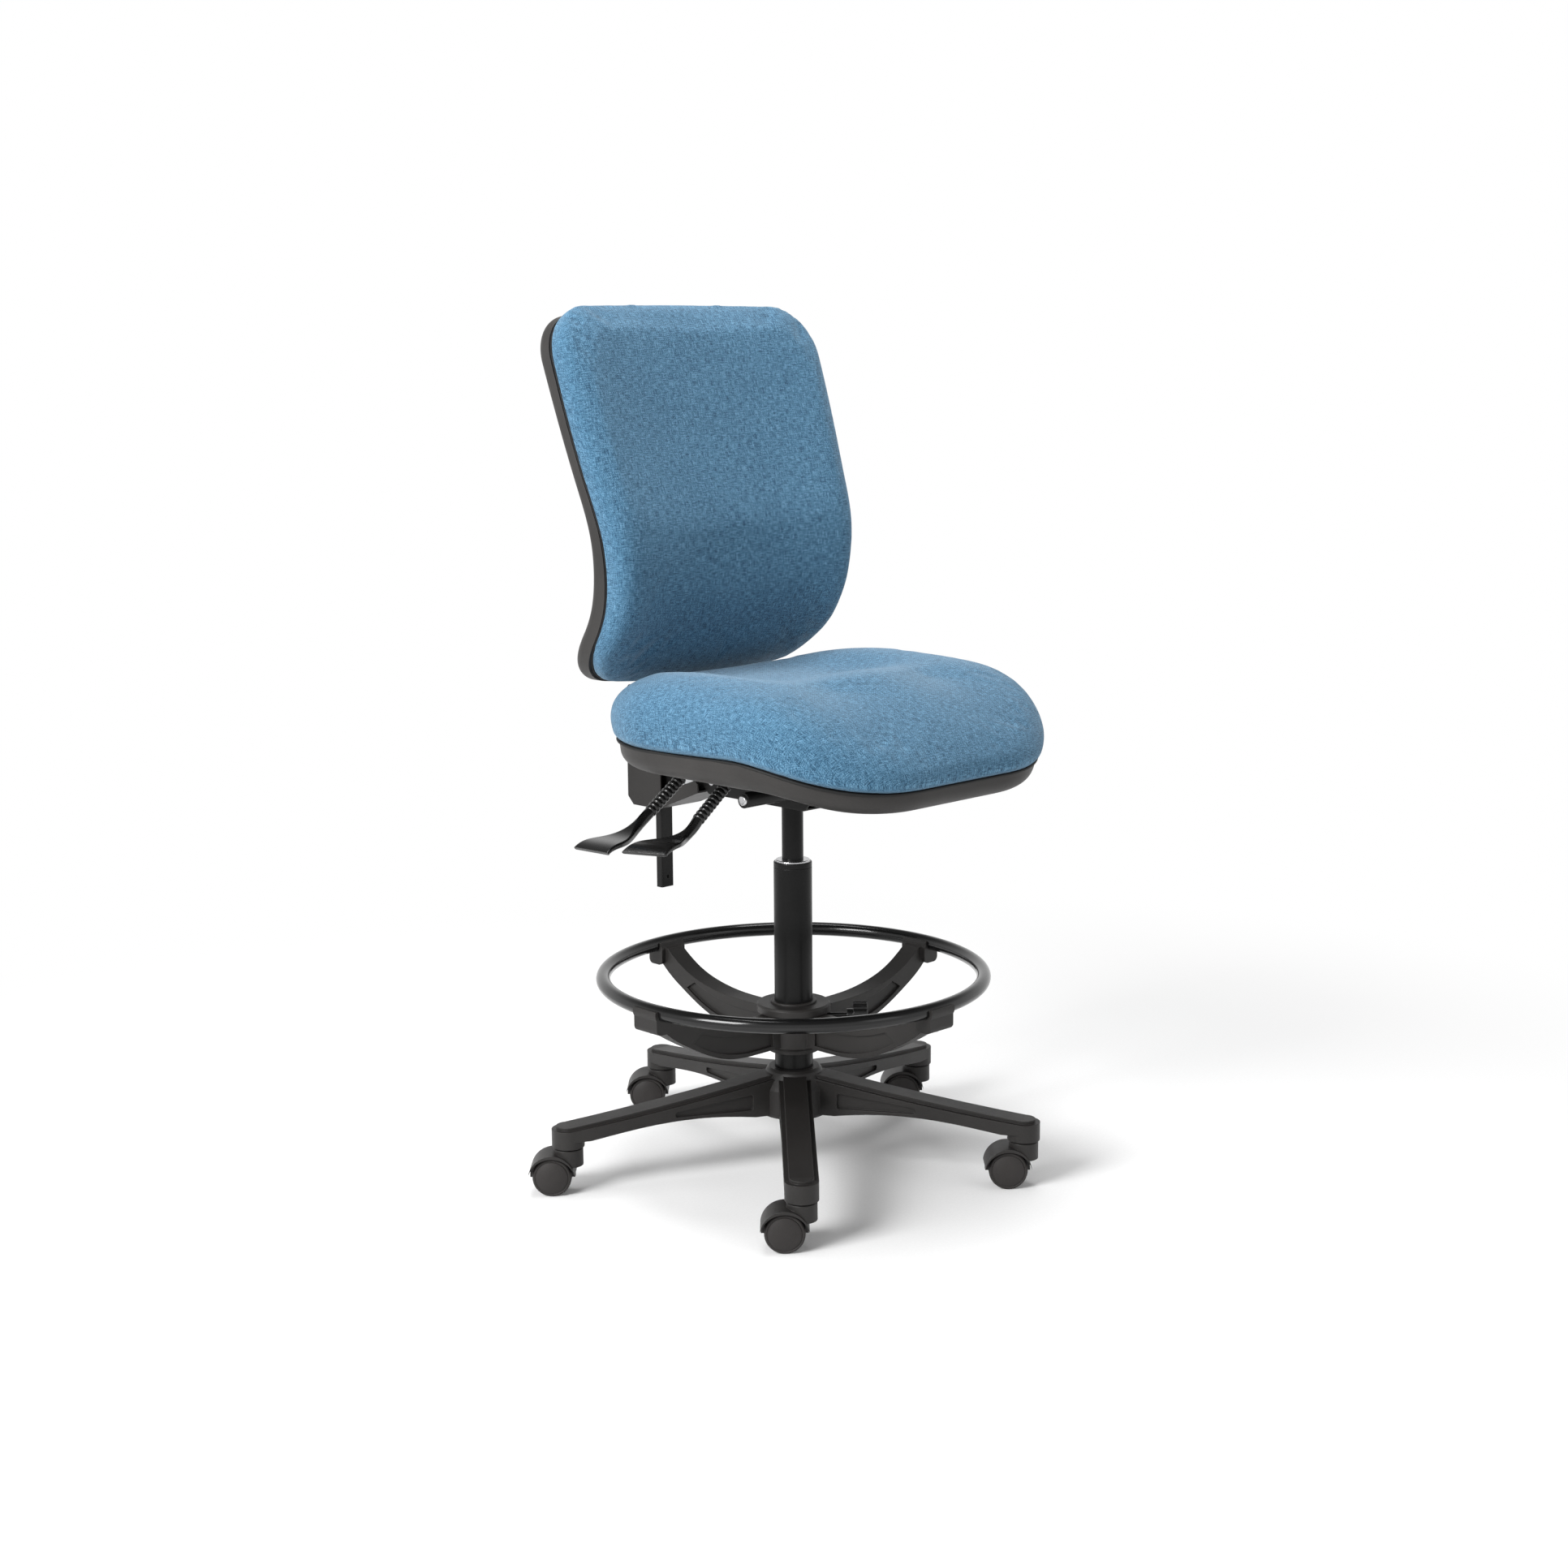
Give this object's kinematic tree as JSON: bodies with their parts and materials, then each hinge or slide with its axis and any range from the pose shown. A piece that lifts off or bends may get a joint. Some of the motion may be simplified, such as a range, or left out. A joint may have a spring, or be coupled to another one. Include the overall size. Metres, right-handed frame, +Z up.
{
  "type": "drafting chair",
  "caption": "Armless drafting chair: upholstered seat and waisted back on plastic shells, gas column with sliding foot ring, under-seat levers and a star base on twin-wheel castors.",
  "frame": {"origin": "the column axis where it meets the floor", "axes": "+Z up along the column, the sitter faces -Y, the sitter's right hand and both levers are on -X"},
  "size_m": [0.6543, 0.6606, 1.126],
  "materials": {
    "moulded_nylon": "matte",
    "wheel_plastic": "satin",
    "shell_plastic": "matte, fine texture",
    "ring_enamel": "gloss",
    "column_enamel": "satin",
    "guide_metal": "satin",
    "bearing_steel": "satin",
    "frame_enamel": "satin",
    "zinc_steel": "zinc plated",
    "grip_plastic": "satin",
    "plywood": "raw",
    "upholstery": "woven melange",
    "button_plastic": "satin"
  },
  "bodies": {
    "base": {"base_star": "moulded_nylon", "castor_stems": "bearing_steel", "column_outer_tube": "column_enamel", "column_guide_bush": "guide_metal", "thrust_bearing": "bearing_steel"},
    "castor_1": {"castor_hood_1": "moulded_nylon", "castor_axle_1": "bearing_steel"},
    "wheel_a_1": {"castor_wheel_a_1": "wheel_plastic"},
    "wheel_b_1": {"castor_wheel_b_1": "wheel_plastic"},
    "castor_2": {"castor_hood_2": "moulded_nylon", "castor_axle_2": "bearing_steel"},
    "wheel_a_2": {"castor_wheel_a_2": "wheel_plastic"},
    "wheel_b_2": {"castor_wheel_b_2": "wheel_plastic"},
    "castor_3": {"castor_hood_3": "moulded_nylon", "castor_axle_3": "bearing_steel"},
    "wheel_a_3": {"castor_wheel_a_3": "wheel_plastic"},
    "wheel_b_3": {"castor_wheel_b_3": "wheel_plastic"},
    "castor_4": {"castor_hood_4": "moulded_nylon", "castor_axle_4": "bearing_steel"},
    "wheel_a_4": {"castor_wheel_a_4": "wheel_plastic"},
    "wheel_b_4": {"castor_wheel_b_4": "wheel_plastic"},
    "castor_5": {"castor_hood_5": "moulded_nylon", "castor_axle_5": "bearing_steel"},
    "wheel_a_5": {"castor_wheel_a_5": "wheel_plastic"},
    "wheel_b_5": {"castor_wheel_b_5": "wheel_plastic"},
    "ring_carrier": {"ring_collet": "moulded_nylon"},
    "foot_ring": {"foot_ring_spider": "moulded_nylon", "foot_ring_tube": "ring_enamel", "ring_clip_screws": "bearing_steel"},
    "clamp_knob": {"clamp_knob": "grip_plastic"},
    "piston": {"piston_rod": "bearing_steel"},
    "carrier": {"gas_cylinder": "column_enamel", "mechanism_housing": "frame_enamel", "seat_pivot_tube": "frame_enamel", "seat_pivot_rod": "bearing_steel", "back_pivot_pin": "bearing_steel"},
    "button": {"release_button": "button_plastic"},
    "height_lever": {"height_lever_rod": "bearing_steel", "height_lever_sleeve": "grip_plastic", "height_lever_paddle": "grip_plastic"},
    "tilt_lever": {"tilt_lever_rod": "bearing_steel", "tilt_lever_sleeve": "grip_plastic", "tilt_lever_paddle": "grip_plastic"},
    "seat": {"seat_plate": "frame_enamel", "seat_screws": "bearing_steel", "seat_shell": "shell_plastic", "seat_board": "plywood", "seat_cushion": "upholstery"},
    "back_arm": {"back_bracket": "frame_enamel", "lock_plates": "zinc_steel", "bracket_cover": "moulded_nylon"},
    "back": {"back_upright": "frame_enamel", "back_plate": "frame_enamel", "back_screws": "bearing_steel", "back_shell": "shell_plastic", "back_board": "plywood", "back_cushion": "upholstery"}
  },
  "joints": [
    {"name": "castor_swivel_1", "type": "hinge", "parent": "base", "child": "castor_1", "pos_m": [-0.21165, -0.22335, 0.055], "axis": [0, 0, 1], "continuous": true},
    {"name": "wheel_spin_a_1", "type": "hinge", "parent": "castor_1", "child": "wheel_a_1", "pos_m": [-0.22615, -0.20885, 0.025], "axis": [0.7071, 0.7071, 0], "continuous": true},
    {"name": "wheel_spin_b_1", "type": "hinge", "parent": "castor_1", "child": "wheel_b_1", "pos_m": [-0.22615, -0.20885, 0.025], "axis": [0.7071, 0.7071, 0], "continuous": true},
    {"name": "castor_swivel_2", "type": "hinge", "parent": "base", "child": "castor_2", "pos_m": [0.14701, -0.27031, 0.055], "axis": [0, 0, 1], "continuous": true},
    {"name": "wheel_spin_a_2", "type": "hinge", "parent": "castor_2", "child": "wheel_a_2", "pos_m": [0.13251, -0.25581, 0.025], "axis": [0.7071, 0.7071, 0], "continuous": true},
    {"name": "wheel_spin_b_2", "type": "hinge", "parent": "castor_2", "child": "wheel_b_2", "pos_m": [0.13251, -0.25581, 0.025], "axis": [0.7071, 0.7071, 0], "continuous": true},
    {"name": "castor_swivel_3", "type": "hinge", "parent": "base", "child": "castor_3", "pos_m": [0.30251, 0.05629, 0.055], "axis": [0, 0, 1], "continuous": true},
    {"name": "wheel_spin_a_3", "type": "hinge", "parent": "castor_3", "child": "wheel_a_3", "pos_m": [0.28801, 0.07078, 0.025], "axis": [0.7071, 0.7071, 0], "continuous": true},
    {"name": "wheel_spin_b_3", "type": "hinge", "parent": "castor_3", "child": "wheel_b_3", "pos_m": [0.28801, 0.07078, 0.025], "axis": [0.7071, 0.7071, 0], "continuous": true},
    {"name": "castor_swivel_4", "type": "hinge", "parent": "base", "child": "castor_4", "pos_m": [0.03995, 0.3051, 0.055], "axis": [0, 0, 1], "continuous": true},
    {"name": "wheel_spin_a_4", "type": "hinge", "parent": "castor_4", "child": "wheel_a_4", "pos_m": [0.02545, 0.31959, 0.025], "axis": [0.7071, 0.7071, 0], "continuous": true},
    {"name": "wheel_spin_b_4", "type": "hinge", "parent": "castor_4", "child": "wheel_b_4", "pos_m": [0.02545, 0.31959, 0.025], "axis": [0.7071, 0.7071, 0], "continuous": true},
    {"name": "castor_swivel_5", "type": "hinge", "parent": "base", "child": "castor_5", "pos_m": [-0.27782, 0.13227, 0.055], "axis": [0, 0, 1], "continuous": true},
    {"name": "wheel_spin_a_5", "type": "hinge", "parent": "castor_5", "child": "wheel_a_5", "pos_m": [-0.29231, 0.14677, 0.025], "axis": [0.7071, 0.7071, 0], "continuous": true},
    {"name": "wheel_spin_b_5", "type": "hinge", "parent": "castor_5", "child": "wheel_b_5", "pos_m": [-0.29231, 0.14677, 0.025], "axis": [0.7071, 0.7071, 0], "continuous": true},
    {"name": "ring_slide", "type": "slide", "parent": "base", "child": "ring_carrier", "axis": [0, 0, 1], "range_m": [-0.018, 0.024]},
    {"name": "ring_turn", "type": "hinge", "parent": "ring_carrier", "child": "foot_ring", "pos_m": [0, 0, 0.2], "axis": [0, 0, 1], "continuous": true},
    {"name": "clamp_knob_turn", "type": "hinge", "parent": "foot_ring", "child": "clamp_knob", "pos_m": [0, 0, 0.204], "axis": [0.7071, -0.7071, 0], "continuous": true},
    {"name": "seat_swivel", "type": "hinge", "parent": "base", "child": "piston", "pos_m": [0, 0, 0.1], "axis": [0, 0, 1], "continuous": true},
    {"name": "gas_lift", "type": "slide", "parent": "piston", "child": "carrier", "axis": [0, 0, 1], "range_m": [-0.02, 0.2]},
    {"name": "height_lever_lift", "type": "hinge", "parent": "carrier", "child": "height_lever", "pos_m": [-0.034, 0.043, 0.524], "axis": [-0.1616, 0.9869, 0], "range_deg": [0, 7], "stiffness_Nm_per_rad": 3, "springref_deg": -6.88},
    {"name": "button_press", "type": "slide", "parent": "carrier", "child": "button", "axis": [0, 0, -1], "range_m": [0, 0.0038]},
    {"name": "tilt_lever_lift", "type": "hinge", "parent": "carrier", "child": "tilt_lever", "pos_m": [-0.034, 0.124, 0.523], "axis": [-0.0872, 0.9962, 0], "range_deg": [0, 8]},
    {"name": "seat_tilt", "type": "hinge", "parent": "carrier", "child": "seat", "pos_m": [0, -0.04, 0.514], "axis": [-1, 0, 0], "range_deg": [0, 3.5]},
    {"name": "back_tilt", "type": "hinge", "parent": "carrier", "child": "back_arm", "pos_m": [0, 0.12, 0.505], "axis": [-1, 0, 0], "range_deg": [0, 10]},
    {"name": "back_height", "type": "slide", "parent": "back_arm", "child": "back", "axis": [0, 0, 1], "range_m": [0, 0.08]}
  ],
  "couplings": [
    {"joint": "button_press", "follows": "height_lever_lift", "m_per_rad": 0.031}
  ]
}
